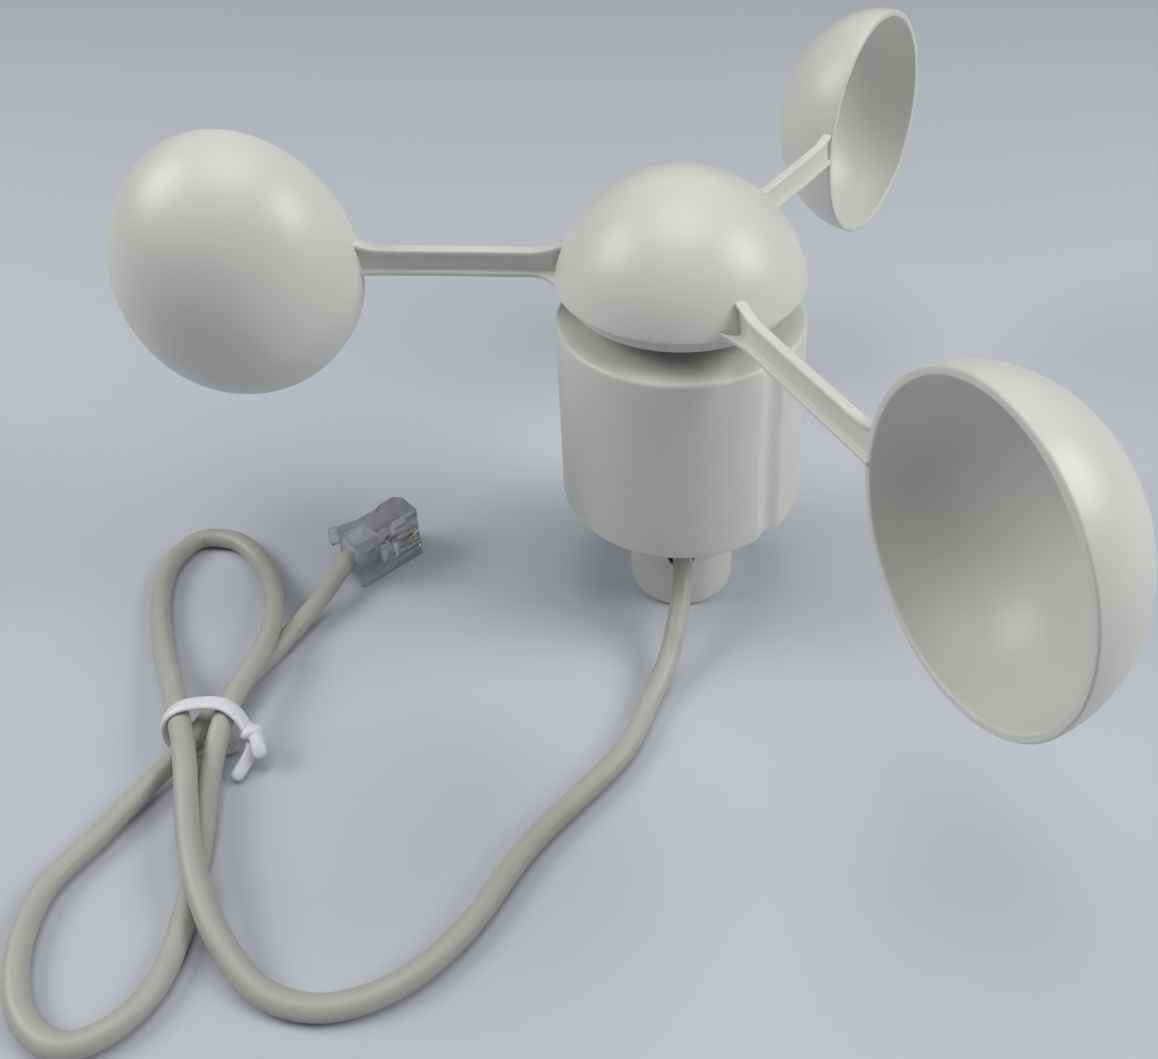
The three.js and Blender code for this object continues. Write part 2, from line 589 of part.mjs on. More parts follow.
// Plug frame: +X along the plug from the cable end, +Y towards the latch, +Z up.
function plug() {
  const group = new THREE.Group();
  group.position.copy(PLUG_CORNER);
  group.rotation.z = PLUG_ANGLE;
  const middle = PLUG_THICKNESS / 2;
  const body = plate([
    v2(0, PLUG_CHAMFER), v2(PLUG_CHAMFER, 0), v2(PLUG_LENGTH, 0), v2(PLUG_LENGTH, PLUG_WIDTH),
    v2(PLUG_CHAMFER, PLUG_WIDTH), v2(0, PLUG_WIDTH - PLUG_CHAMFER),
  ], PLUG_THICKNESS).translate(0, middle, 0);
  const entry = box(4, 4.2, 4.2).translate(1, middle, PLUG_WIDTH / 2);
  const slotX = PLUG_LENGTH - 1.9;
  const slots = CONTACT_HEIGHTS.map((z) => box(3.4, 3, 0.9).translate(slotX, 0.4, z));
  group.add(mesh('plug_body', subtract(body, entry, ...slots), clearPlastic()));
  CONTACT_HEIGHTS.forEach((z, i) => {
    group.add(mesh(`plug_contact_${i + 1}`, box(2.6, 1.2, 0.3).translate(slotX, 0.9, z), gold()));
  });
  group.add(mesh('plug_latch', latchGeometry(), clearPlastic()));
  return group;
}

// Sprung tongue along the plug: it starts at the nose and stands off towards the cable end.
function latchGeometry() {
  const y = PLUG_THICKNESS + GAP;
  const outline = new THREE.Shape([
    v2(PLUG_LENGTH - 0.5, y), v2(PLUG_LENGTH - 0.5, y + 1), v2(6, y + 2.5), v2(1.2, y + 3.6),
    v2(1.2, y + 2.7), v2(6, y + 1.5), v2(PLUG_LENGTH - 1.5, y),
  ]);
  const tongue = new THREE.ExtrudeGeometry(outline, { depth: LATCH_WIDTH, bevelEnabled: false });
  return plain(tongue.translate(0, 0, (PLUG_WIDTH - LATCH_WIDTH) / 2));
}

// ---- the whole object ---------------------------------------------------------------------
const anemometer = new THREE.Group();
anemometer.add(rotor());
anemometer.add(bearing('upper_bearing', UPPER_BEARING_BOTTOM));
anemometer.add(bearing('lower_bearing', LOWER_BEARING_BOTTOM));
anemometer.add(stator());
anemometer.add(mesh('signal_cable', cableGeometry(), material(0xb2b1a6, 0.6)));
anemometer.add(mesh('twist_tie', tieGeometry(), material(0xe6e8ea, 0.4)));
anemometer.add(plug());

export default anemometer;
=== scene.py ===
"""Looks for the three-cup anemometer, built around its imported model.

Sizes and places are in millimetres, in the model's own frame (+Z up, the spigot's end at the origin), and
MM turns them into metres where meshes, curves and the camera are made. Only the lights are given in metres.
"""
import json
import math

import bmesh
import bpy
from mathutils import Matrix, Vector


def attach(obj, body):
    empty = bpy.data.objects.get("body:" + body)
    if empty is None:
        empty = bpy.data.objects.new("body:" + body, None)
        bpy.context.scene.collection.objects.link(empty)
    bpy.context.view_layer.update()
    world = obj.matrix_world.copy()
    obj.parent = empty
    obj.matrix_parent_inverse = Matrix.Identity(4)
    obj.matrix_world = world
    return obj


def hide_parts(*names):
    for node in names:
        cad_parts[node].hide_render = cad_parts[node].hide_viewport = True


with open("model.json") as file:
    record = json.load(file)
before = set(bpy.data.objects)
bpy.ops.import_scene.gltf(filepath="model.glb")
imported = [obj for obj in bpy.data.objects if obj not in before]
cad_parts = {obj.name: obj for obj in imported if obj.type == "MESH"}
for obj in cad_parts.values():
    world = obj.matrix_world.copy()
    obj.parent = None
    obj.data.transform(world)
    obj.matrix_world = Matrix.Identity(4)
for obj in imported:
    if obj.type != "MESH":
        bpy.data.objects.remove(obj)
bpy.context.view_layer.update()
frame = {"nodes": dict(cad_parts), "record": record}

MM = 0.001

# ---- driving dimensions ----------------------------------------------------------------------
ROTOR_REST_ANGLE = math.radians(176.75)
CUP_COUNT = 3
CUP_CIRCLE_RADIUS = 65.0
CUP_HEIGHT = 58.7
CUP_HALF_WIDTH = 18.2
CUP_HALF_HEIGHT = 20.9
CUP_DEPTH = 17.4
CUP_WALL = 1.25
CUP_LIP = 0.35  # rounding of the rim's edges
CUP_COLLAR = 0.6  # straight stretch of the cup's wall next to its rim

ARM_RISE = 1.1
ARM_HALF_HEIGHT = 2.15
ARM_UPPER_WIDTH = 1.7
ARM_LOWER_WIDTH = 2.3
ARM_FLANGE_THICKNESS = 0.8
ARM_WEB_THICKNESS = 0.75
ARM_LEAN = math.radians(6)
ARM_FLARE = 1.1
ARM_FLARE_LENGTH = 4.5
ARM_FOOT_SPREAD = 2.4  # how far the lower flange widens on each side where it meets the dome
ARM_CUP_SHIFT = 1.0  # how far behind the cup's rim the arm ends
ARM_START_DEPTH = 2.3  # how far inside the dome's widest radius the arm starts
ARM_ROOT_DEPTH = 1.2  # how far inside it the flares at the arm's root are centred
ARM_CUP_OVERLAP = 0.9  # how far the arm runs past the cup's nearest edge
ARM_STEPS = 60
ARM_VOXEL = 0.15

DOME_RADIUS = 18.6
DOME_CENTRE_HEIGHT = 55.2
DOME_HALF_HEIGHT = 19.05
DOME_RIM_HEIGHT = 58.4
DOME_WALL = 1.6
DOME_RIM_DEPTH = 0.4  # how far the rim's rounded edge reaches below DOME_RIM_HEIGHT
SKIRT_RADIUS = 16.4
SKIRT_THICKNESS = 1.2
SKIRT_BOTTOM = 55.5
ROOF_RADIUS = DOME_RADIUS - DOME_WALL - 0.9
ROOF_RISE = 3.4  # height above the dome's centre where its hollow's curve starts
BOSS_RADIUS = 4.0
BOSS_BOTTOM = 62.2
BOSS_BEVEL = 0.4
SHAFT_BORE_RADIUS = 1.6
SHAFT_BORE_TOP = 70.2

HOUSING_TOP_RADIUS = 18.6
HOUSING_BOTTOM_RADIUS = 18.95
HOUSING_BOTTOM = 20.3
HOUSING_LEDGE = 51.7
HOUSING_WALL = 1.8  # at the top; the outside widens downwards
HOUSING_MOUTH_RADIUS = HOUSING_TOP_RADIUS - 1.6  # the inside at the bottom edge, round the base
HOUSING_CEILING = 49.7
NECK_RADIUS = 7.2
NECK_TOP = 60.8
NECK_LIP_RADIUS = 3.6
BEARING_BORE_RADIUS = 5.1
BEARING_BORE_BOTTOM = 42.6
BEARING_BORE_TOP = 60.2
FLUTE_ANGLE = math.radians(-46)
FLUTE_REACH = 2.5  # half the flute's width along the wall
FLUTE_DEPTH = 0.75

SPIGOT_RADIUS = 8.45
SPIGOT_WALL = 1.6
SPIGOT_FLOOR = 1.8
BASE_RADIUS = 16.5
BASE_UNDER = 20.6
BASE_TOP = 23.2
SCREW_CIRCLE_RADIUS = 14.6
SCREW_ANGLES = [math.radians(angle) for angle in (90, 210, 330)]
SCREW_CENTRES = [(SCREW_CIRCLE_RADIUS * math.cos(a), SCREW_CIRCLE_RADIUS * math.sin(a)) for a in SCREW_ANGLES]
SCREW_RECESS_RADIUS = 2.35
SCREW_RECESS_DEPTH = 1.5
SCREW_HOLE_RADIUS = 1.25
SCREW_HEAD_RADIUS = 1.95
SCREW_HEAD_HEIGHT = 1.0
SCREW_SHANK_RADIUS = 0.95
SCREW_SHANK_END = 10.0
SCREW_TIP = 10.9
SCREW_HEAD_INSET = 0.4
CROSS_REACH = 1.15
CROSS_HALF_WIDTH = 0.2
CROSS_DEPTH = 0.65
CABLE_HOLE_HEIGHT = 10.8
CABLE_HOLE_RADIUS = 2.15
BUSH_BORE = 1.62
BUSH_RADIUS = 2.1
BUSH_FLANGE_RADIUS = 3.2
BUSH_HALF_LENGTH = 1.5

CABLE_DIAMETER = 3.15
# The cable's route, point by point: out of the spigot, over the surface, to the plug.
CABLE_ROUTE = [
    (0.3, -9.3, 10.8), (0.2, -12.4, 10), (-0.5, -17.2, 6.8), (-2, -22.6, 3.4),
    (-4.6, -29, 1.8), (-8, -37.7, 1.7), (-19.6, -52.2, 1.7), (-27.6, -65.5, 1.7),
    (-34.6, -71.6, 1.7), (-42.3, -73.7, 1.7), (-49.7, -71.9, 1.9), (-56, -66.7, 3.6),
    (-61, -59.8, 5.1), (-64.6, -52.6, 5.3), (-69, -41.4, 6.3), (-74.3, -31.6, 4.9),
    (-82.2, -17.2, 2), (-85.7, -8.6, 1.75), (-86.9, -0.9, 1.7), (-84.2, 5.1, 1.7),
    (-77.6, 4.8, 1.7), (-70.9, -1.4, 1.8), (-65.9, -10.9, 3.5), (-63.9, -20.9, 5.2),
    (-64.9, -29.7, 5.8), (-65.4, -35.8, 5.6), (-65.4, -43.2, 2.9), (-63, -55.5, 1.75),
    (-62.3, -70.9, 1.7), (-65.9, -76.5, 1.7), (-70.8, -78.2, 1.7), (-76.4, -75.2, 1.7),
    (-80.4, -68.7, 1.7), (-81.4, -59.7, 1.7), (-77.6, -51.8, 1.75), (-70.8, -38.7, 2.75),
    (-66.6, -27.1, 2.3), (-63.6, -19.9, 1.7), (-59.4, -11.4, 2.8), (-55.2, -2, 4.83),
]
CABLE_START = (0.1, -7.9, 10.8)  # inside the grommet, where it meets the inner stretch
INNER_CABLE_ROUTE = [(0, -7.8, 10.8), (0, -5.2, 10.8), (0, -1.6, 13.6), (0, 0, 18), (0, 0, 24.4)]

TIE_HALF_WIDTH = 1.1
TIE_HALF_THICKNESS = 0.45
TAIL_HALF_WIDTH = 0.95
TAIL_HALF_THICKNESS = 0.55
TIE_LOOP = [
    (-61.6, -37.2, 4.4), (-63.4, -37, 1.7), (-65.8, -37, 0.6), (-71.2, -37, 0.6),
    (-73, -37.1, 2), (-73.6, -37, 4.4), (-73.2, -36.5, 6.6), (-71.6, -35.8, 7.8),
    (-68.4, -35.2, 8.1), (-65.2, -35.2, 7.75), (-63, -36.1, 6.5), (-61.6, -37.2, 4.8),
]
TIE_TAILS = [
    [(-62.2, -36.8, 5.3), (-61.2, -37.4, 5), (-60.2, -38.3, 4.6), (-59.6, -39.4, 4), (-59.1, -40.5, 3)],
    [(-61.6, -37.0, 4.8), (-60.9, -37.8, 4.0), (-60.8, -38.8, 3.1), (-61.6, -40.6, 1.9), (-62.6, -42.6, 1.1)],
]
TIE_KNOT = (-61.0, -37.5, 4.7)
TIE_KNOT_RADII = (1.55, 1.05, 1.0)
TIE_KNOT_TURN = 0.5
TAIL_ACROSS = (0.9, 0.35, -0.1)  # the direction that the tails' flat width keeps to

PLUG_CORNER = (-53.3, -4.8, 0)
PLUG_ANGLE = math.radians(46.7)
PLUG_LENGTH = 12.3
PLUG_THICKNESS = 6.6
PLUG_WIDTH = 9.65
SHELL_THICKNESS = 5.9  # from the side with the contacts to the latch's side
PLUG_BEVEL = 0.12
CABLE_END = 4.4  # how far the cable's jacket reaches into the plug
CORE_DIAMETER = 0.85
CORE_DEPTH = 3.2  # the cores' place from the side with the contacts
CONTACT_PITCH = 1.02
CONTACT_HALF_THICKNESS = 0.15
SLOT_COUNT = 6
SLOT_HALF_WIDTH = 0.28
LATCH_WIDTH = 3.2
LATCH_FOOT = PLUG_THICKNESS - 0.3

# ---- camera ----------------------------------------------------------------------------------
CAMERA_PLACE = (0.5, -147.5, 143.7)
CAMERA_YAW = -0.017
CAMERA_PITCH = 0.549
CAMERA_ROLL = -0.008
CAMERA_SENSOR = 36
CAMERA_LENS = 36.55
CAMERA_SHIFT = (-0.0765, -0.1957)


def make_camera():
    data = bpy.data.cameras.new("camera")
    data.sensor_width = CAMERA_SENSOR
    data.lens = CAMERA_LENS
    data.shift_x, data.shift_y = CAMERA_SHIFT
    data.clip_start = 0.005
    camera = bpy.data.objects.new("camera", data)
    bpy.context.scene.collection.objects.link(camera)
    forward = Vector((
        math.sin(CAMERA_YAW) * math.cos(CAMERA_PITCH),
        math.cos(CAMERA_YAW) * math.cos(CAMERA_PITCH),
        -math.sin(CAMERA_PITCH),
    ))
    right = Vector((math.cos(CAMERA_YAW), -math.sin(CAMERA_YAW), 0))
    up = right.cross(forward)
    turned_right = right * math.cos(CAMERA_ROLL) + up * math.sin(CAMERA_ROLL)
    turned_up = up * math.cos(CAMERA_ROLL) - right * math.sin(CAMERA_ROLL)
    turn = Matrix((turned_right, turned_up, -forward)).transposed().to_4x4()
    camera.matrix_world = Matrix.Translation(Vector(CAMERA_PLACE) * MM) @ turn
    bpy.context.scene.camera = camera


make_camera()


# ---- materials -------------------------------------------------------------------------------
WORN_EDGE = (0.52, 0.62)  # the range of pointiness over which an edge turns lighter
WORN_LIGHTNESS = 1.12
ROUGHNESS_SPREAD = 0.15
BUMP_HEIGHT = 0.0001  # in metres
MIX_FACTOR, MIX_A, MIX_B, MIX_RESULT = 0, 6, 7, 2  # the Mix node's sockets for colours


def procedural(name, color, roughness, vary, patch, bump, grain, wear=0.0, **sockets):
    """A material whose colour, roughness and height come from noise.

    vary is how far the colour strays, patch and grain are the two noises' scales per metre, bump is the
    finer one's strength, and wear makes edges lighter. Any other setting names an input of the shader.
    """
    material = bpy.data.materials.new(name)
    material.use_nodes = True
    nodes, links = material.node_tree.nodes, material.node_tree.links
    shader = nodes["Principled BSDF"]
    place = nodes.new("ShaderNodeTexCoord")
    patches = nodes.new("ShaderNodeTexNoise")
    patches.inputs["Scale"].default_value = patch
    patches.inputs["Detail"].default_value = 4
    links.new(place.outputs["Object"], patches.inputs["Vector"])
    tone = nodes.new("ShaderNodeValToRGB")
    tone.color_ramp.elements[0].position = 0.3
    tone.color_ramp.elements[1].position = 0.7
    tone.color_ramp.elements[0].color = [*[c * (1 - vary) for c in color], 1]
    tone.color_ramp.elements[1].color = [*[min(1, c * (1 + vary)) for c in color], 1]
    links.new(patches.outputs["Fac"], tone.inputs["Fac"])
    colour_out = tone.outputs["Color"]
    if wear:
        geometry = nodes.new("ShaderNodeNewGeometry")
        edge = nodes.new("ShaderNodeMapRange")
        edge.inputs["From Min"].default_value, edge.inputs["From Max"].default_value = WORN_EDGE
        edge.inputs["To Max"].default_value = wear
        links.new(geometry.outputs["Pointiness"], edge.inputs["Value"])
        lighter = nodes.new("ShaderNodeMix")
        lighter.data_type = "RGBA"
        lighter.inputs[MIX_B].default_value = [*[min(1, c * WORN_LIGHTNESS) for c in color], 1]
        links.new(edge.outputs["Result"], lighter.inputs[MIX_FACTOR])
        links.new(colour_out, lighter.inputs[MIX_A])
        colour_out = lighter.outputs[MIX_RESULT]
    links.new(colour_out, shader.inputs["Base Color"])
    spread = nodes.new("ShaderNodeMapRange")
    spread.inputs["To Min"].default_value = roughness * (1 - ROUGHNESS_SPREAD)
    spread.inputs["To Max"].default_value = min(1, roughness * (1 + ROUGHNESS_SPREAD))
    links.new(patches.outputs["Fac"], spread.inputs["Value"])
    links.new(spread.outputs["Result"], shader.inputs["Roughness"])
    fine = nodes.new("ShaderNodeTexNoise")
    fine.inputs["Scale"].default_value = grain
    fine.inputs["Detail"].default_value = 3
    links.new(place.outputs["Object"], fine.inputs["Vector"])
    height = nodes.new("ShaderNodeBump")
    height.inputs["Strength"].default_value = bump
    height.inputs["Distance"].default_value = BUMP_HEIGHT
    links.new(fine.outputs["Fac"], height.inputs["Height"])
    links.new(height.outputs["Normal"], shader.inputs["Normal"])
    for socket, value in sockets.items():
        shader.inputs[socket.replace("_", " ")].default_value = value
    return material


# Each slot's colour, roughness, vary, patch, bump and grain, and its other settings, all for procedural().
FINISHES = {
    "white_abs": ((0.715, 0.717, 0.668), 0.36, 0.015, 60, 0.05, 3000,
                  {"wear": 0.35, "Specular_IOR_Level": 0.45}),
    "bright_steel": ((0.72, 0.73, 0.74), 0.18, 0.04, 400, 0.04, 6000, {"Metallic": 1.0}),
    "bearing_steel": ((0.55, 0.56, 0.59), 0.28, 0.05, 300, 0.06, 5000, {"Metallic": 1.0}),
    "plated_steel": ((0.60, 0.60, 0.60), 0.3, 0.06, 500, 0.08, 4000, {"Metallic": 1.0}),
    "nylon": ((0.66, 0.63, 0.54), 0.5, 0.03, 150, 0.08, 3000, {"Subsurface_Weight": 0.1}),
    "circuit_board": ((0.03, 0.17, 0.07), 0.35, 0.12, 700, 0.1, 2500, {}),
    "reed_glass": ((0.75, 0.9, 0.8), 0.06, 0.02, 100, 0.01, 800, {"Transmission_Weight": 0.9, "IOR": 1.5}),
    "black_rubber": ((0.018, 0.018, 0.02), 0.75, 0.15, 300, 0.2, 3500, {}),
    "cable_jacket": ((0.47, 0.465, 0.42), 0.42, 0.03, 200, 0.06, 2500, {}),
    "white_insulation": ((0.72, 0.71, 0.67), 0.4, 0.08, 300, 0.05, 3000, {}),
    "brown_insulation": ((0.16, 0.08, 0.04), 0.4, 0.08, 300, 0.05, 3000, {}),
    "tie_coating": ((0.80, 0.81, 0.83), 0.3, 0.02, 300, 0.06, 2000, {"Subsurface_Weight": 0.05}),
    "clear_plastic": ((0.94, 0.955, 1.0), 0.05, 0.01, 300, 0.03, 500,
                      {"Transmission_Weight": 0.8, "IOR": 1.42}),
    "gold_plate": ((0.83, 0.58, 0.22), 0.22, 0.06, 600, 0.05, 4000, {"Metallic": 1.0}),
}


def make_materials():
    return {slot: procedural(slot, *finish, **others) for slot, (*finish, others) in FINISHES.items()}


MATERIALS = make_materials()


# ---- mesh helpers ----------------------------------------------------------------------------
def rounded(corners, closed=False, steps=6):
    """The outline through (x, y, radius) corners, each one rounded by its radius."""
    outline = []
    for i, (x, y, radius) in enumerate(corners):
        at_end = not closed and i in (0, len(corners) - 1)
        if not radius or at_end:
            outline.append((x, y))
            continue
        here = Vector((x, y))
        back = (Vector(corners[i - 1][:2]) - here).normalized()
        on = (Vector(corners[(i + 1) % len(corners)][:2]) - here).normalized()
        half = back.angle(on) / 2
        centre = here + (back + on).normalized() * radius / math.sin(half)
        first = here + back * radius / math.tan(half) - centre
        last = here + on * radius / math.tan(half) - centre
        start = math.atan2(first.y, first.x)
        sweep = math.remainder(math.atan2(last.y, last.x) - start, math.tau)
        for k in range(steps + 1):
            angle = start + sweep * k / steps
            outline.append((centre.x + radius * math.cos(angle), centre.y + radius * math.sin(angle)))
    return outline


def ellipse_arc(cx, cy, rx, ry, start, end, steps):
    angles = [start + (end - start) * k / steps for k in range(steps + 1)]
    return [(cx + rx * math.cos(a), cy + ry * math.sin(a)) for a in angles]


def ellipse(cx, cy, rx, ry, steps):
    return ellipse_arc(cx, cy, rx, ry, 0, math.tau, steps)[:-1]


def shade(mesh, sharp=None):
    """Smooth shading. Edges sharper than the angle in degrees, if one is given, stay sharp."""
    for polygon in mesh.polygons:
        polygon.use_smooth = True
    if sharp:
        mesh.set_sharp_from_angle(angle=math.radians(sharp))


def finish_mesh(name, bm, matrix=None, sharp=40):
    """An object from a bmesh in millimetres, shaded smooth but for its sharp edges."""
    bmesh.ops.remove_doubles(bm, verts=bm.verts, dist=1e-5)
    bmesh.ops.recalc_face_normals(bm, faces=bm.faces)
    bm.transform(Matrix.Scale(MM, 4) @ (matrix or Matrix()))
    mesh = bpy.data.meshes.new(name)
    bm.to_mesh(mesh)
    bm.free()
    shade(mesh, sharp)
    piece = bpy.data.objects.new(name, mesh)
    bpy.context.scene.collection.objects.link(piece)
    return piece


def lathe(profile, segments=128, squeeze=1.0, wave=None):
    """Turn a profile of (radius, height) points about Z. It starts and ends on the axis, or closes on itself.

    squeeze scales X, and wave(radius, angle) may change a point's radius.
    """
    bm = bmesh.new()
    rings = []
    for radius, height in profile:
        if radius < 1e-6:
            rings.append([bm.verts.new((0, 0, height))])
            continue
        ring = []
        for k in range(segments):
            angle = math.tau * k / segments
            r = wave(radius, angle) if wave else radius
            ring.append(bm.verts.new((squeeze * r * math.cos(angle), r * math.sin(angle), height)))
        rings.append(ring)
    pairs = list(zip(rings, rings[1:]))
    if len(rings[0]) > 1:
        pairs.append((rings[-1], rings[0]))
    for low, high in pairs:
        for k in range(segments):
            n = k + 1
            corners = [low[k % len(low)], low[n % len(low)], high[n % len(high)], high[k % len(high)]]
            corners = list(dict.fromkeys(corners))
            if len(corners) > 2:
                bm.faces.new(corners)
    return bm


def prism(outline, bottom, top, bm=None):
    """A flat outline in XY made thick along Z."""
    bm = bm or bmesh.new()
    low = [bm.verts.new((x, y, bottom)) for x, y in outline]
    high = [bm.verts.new((x, y, top)) for x, y in outline]
    bm.faces.new(low)
    bm.faces.new(high)
    for k in range(len(outline)):
        n = (k + 1) % len(outline)
        bm.faces.new((low[k], low[n], high[n], high[k]))
    return bm


def boxes(name, place, *corners):
    """One object of axis-aligned boxes, each of them between two corners."""
    bm = bmesh.new()
    for (x0, y0, z0), (x1, y1, z1) in corners:
        prism([(x0, y0), (x1, y0), (x1, y1), (x0, y1)], z0, z1, bm)
    return finish_mesh(name, bm, place)


def loft(bm, sections):
    """Join closed sections of as many points each into one capped body."""
    rings = [[bm.verts.new(point) for point in section] for section in sections]
    for first, second in zip(rings, rings[1:]):
        for k in range(len(first)):
            n = (k + 1) % len(first)
            bm.faces.new((first[k], first[n], second[n], second[k]))
    bm.faces.new(rings[0])
    bm.faces.new(rings[-1])
    return bm


def smooth_line(points, step):
    """A smooth line through the points (centripetal Catmull-Rom), with a point about every step."""
    points = [Vector(p) for p in points]
    padded = [2 * points[0] - points[1], *points, 2 * points[-1] - points[-2]]
    line = []
    for p0, p1, p2, p3 in zip(padded, padded[1:], padded[2:], padded[3:]):
        t1 = (p1 - p0).length ** 0.5
        t2 = t1 + (p2 - p1).length ** 0.5
        t3 = t2 + (p3 - p2).length ** 0.5
        count = max(2, round((p2 - p1).length / step))
        for k in range(count):
            t = t1 + (t2 - t1) * k / count
            a1 = p0.lerp(p1, t / t1)
            a2 = p1.lerp(p2, (t - t1) / (t2 - t1))
            a3 = p2.lerp(p3, (t - t2) / (t3 - t2))
            b1 = a1.lerp(a2, t / t2)
            b2 = a2.lerp(a3, (t - t1) / (t3 - t1))
            line.append(b1.lerp(b2, (t - t1) / (t2 - t1)))
    line.append(points[-1])
    return line


def sweep(bm, line, section, across, scales=None):
    """Sweep a section of (side, out) points along a line. across is the side direction to keep to.

    scales, if given, sizes the section at each point of the line.
    """
    scales = scales or [1] * len(line)
    sections = []
    for k, point in enumerate(line):
        ahead = (line[min(k + 1, len(line) - 1)] - line[max(k - 1, 0)]).normalized()
        out = ahead.cross(Vector(across)).normalized()
        side = out.cross(ahead).normalized()
        sections.append([point + (side * a + out * b) * scales[k] for a, b in section])
    return loft(bm, sections)


def apply_modifiers(piece, sharp=None):
    bpy.context.view_layer.update()
    evaluated = piece.evaluated_get(bpy.context.evaluated_depsgraph_get())
    mesh = bpy.data.meshes.new_from_object(evaluated)
    piece.modifiers.clear()
    piece.data = mesh
    shade(mesh, sharp)


def cut(piece, *cutters):
    """Cut the cutters out of a piece for good, and remove them."""
    for cutter in cutters:
        boolean = piece.modifiers.new("cut", "BOOLEAN")
        boolean.operation = "DIFFERENCE"
        boolean.solver = "EXACT"
        boolean.object = cutter
    apply_modifiers(piece, sharp=40)
    for cutter in cutters:
        bpy.data.objects.remove(cutter)


def curve_tube(name, line, diameter):
    """A round tube along a line of points."""
    data = bpy.data.curves.new(name, "CURVE")
    data.dimensions = "3D"
    data.bevel_depth = diameter / 2 * MM
    data.bevel_resolution = 6
    data.use_fill_caps = True
    spline = data.splines.new("POLY")
    spline.points.add(len(line) - 1)
    for slot, point in zip(spline.points, line):
        slot.co = (*(Vector(point) * MM), 1)
    spline.use_smooth = True
    piece = bpy.data.objects.new(name, data)
    bpy.context.scene.collection.objects.link(piece)
    return piece


def dress(piece, slot, body, *nodes):
    """Give a piece its material and its body, and hide the CAD nodes that it stands for."""
    piece.data.materials.clear()
    piece.data.materials.append(MATERIALS[slot])
    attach(piece, body)
    if nodes:
        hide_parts(*nodes)
    return piece


# ---- cable, tie and plug ---------------------------------------------------------------------
PLUG_PLACE = Matrix.Translation(PLUG_CORNER) @ Matrix.Rotation(PLUG_ANGLE, 4, "Z")
PLUG_MIDDLE = (PLUG_THICKNESS / 2, PLUG_WIDTH / 2)  # Y and Z of the plug's middle line
# Where the contacts stand across the plug's width.
CONTACT_PLACES = [PLUG_WIDTH / 2 + step * CONTACT_PITCH for step in (-1.5, -0.5, 0.5, 1.5)]


def make_cable():
    end = PLUG_PLACE @ Vector((CABLE_END, *PLUG_MIDDLE))
    line = smooth_line([CABLE_START, *CABLE_ROUTE, end], 0.9)
    cable = curve_tube("signal_lead", line, CABLE_DIAMETER)
    dress(cable, "cable_jacket", "stator", "signal_cable")
    length = sum((b - a).length for a, b in zip(line, line[1:]))
    inner = curve_tube("inner_lead", smooth_line(INNER_CABLE_ROUTE, 0.6), CABLE_DIAMETER)
    dress(inner, "cable_jacket", "stator", "inner_cable")
    return cable, length


def make_tie():
    """A coated strap, oval across, looped round the runs of cable, with a knot and two blunt tails."""
    bm = bmesh.new()
    sweep(bm, smooth_line(TIE_LOOP, 0.3), ellipse(0, 0, TIE_HALF_WIDTH, TIE_HALF_THICKNESS, 24), (0, 1, 0))
    tail_section = ellipse(0, 0, TAIL_HALF_WIDTH, TAIL_HALF_THICKNESS, 24)
    for tail in TIE_TAILS:
        line = smooth_line(tail, 0.15)
        left = [(line[-1] - point).length for point in line]
        blunt = [math.sqrt(1 - (1 - min(1, 0.1 + d / TAIL_HALF_WIDTH)) ** 2) for d in left]
        sweep(bm, line, tail_section, TAIL_ACROSS, blunt)
    knot = Matrix.LocRotScale(Vector(TIE_KNOT), Matrix.Rotation(TIE_KNOT_TURN, 3, "Z"), TIE_KNOT_RADII)
    bmesh.ops.create_uvsphere(bm, u_segments=32, v_segments=20, radius=1, matrix=knot)
    tie = finish_mesh("wire_tie", bm, sharp=60)
    return dress(tie, "tie_coating", "stator", "twist_tie")


def make_plug_shell():
    """The clear shell: a cavity for the cable, and two openings and six slots on the contacts' side."""
    mid_y, mid_z = PLUG_MIDDLE
    outline = rounded([
        (0, 0.5, 0.3), (0.5, 0, 0.3), (PLUG_LENGTH, 0, 0.6), (PLUG_LENGTH, 4.6, 0.4),
        (PLUG_LENGTH - 1.0, SHELL_THICKNESS, 0.6), (8.4, SHELL_THICKNESS, 0.4), (7.6, 5.4, 0.4),
        (3.0, 5.4, 0.3), (2.4, SHELL_THICKNESS, 0.3), (0, SHELL_THICKNESS, 0.4),
    ], closed=True, steps=4)
    shell = finish_mesh("plug_shell", prism(outline, 0, PLUG_WIDTH), PLUG_PLACE, sharp=30)
    jacket_pocket = ((-1, mid_y - 2.0, mid_z - 2.6), (4.9, mid_y + 2.0, mid_z + 2.6))
    core_channel = ((4.8, mid_y - 0.9, mid_z - 2.1), (10.6, mid_y + 0.5, mid_z + 2.1))
    bar_window = ((1.5, -1, mid_z - 2.4), (4.2, 1.0, mid_z + 2.4))
    core_window = ((5.4, -1, mid_z - 3.3), (6.7, 1.5, mid_z + 3.3))
    slot_middles = [mid_z + (step - (SLOT_COUNT - 1) / 2) * CONTACT_PITCH for step in range(SLOT_COUNT)]
    slots = [
        ((7.9, -1, z - SLOT_HALF_WIDTH), (PLUG_LENGTH + 1, 1.9, z + SLOT_HALF_WIDTH)) for z in slot_middles
    ]
    cut(
        shell,
        boxes("cavity", PLUG_PLACE, jacket_pocket, core_channel),
        boxes("windows", PLUG_PLACE, bar_window, core_window),
        boxes("slots", PLUG_PLACE, *slots),
    )
    bevel = shell.modifiers.new("bevel", "BEVEL")
    bevel.width = PLUG_BEVEL * MM
    bevel.segments = 2
    bevel.limit_method = "ANGLE"
    bevel.angle_limit = math.radians(40)
    apply_modifiers(shell, sharp=35)
    return dress(shell, "clear_plastic", "stator", "plug_body")


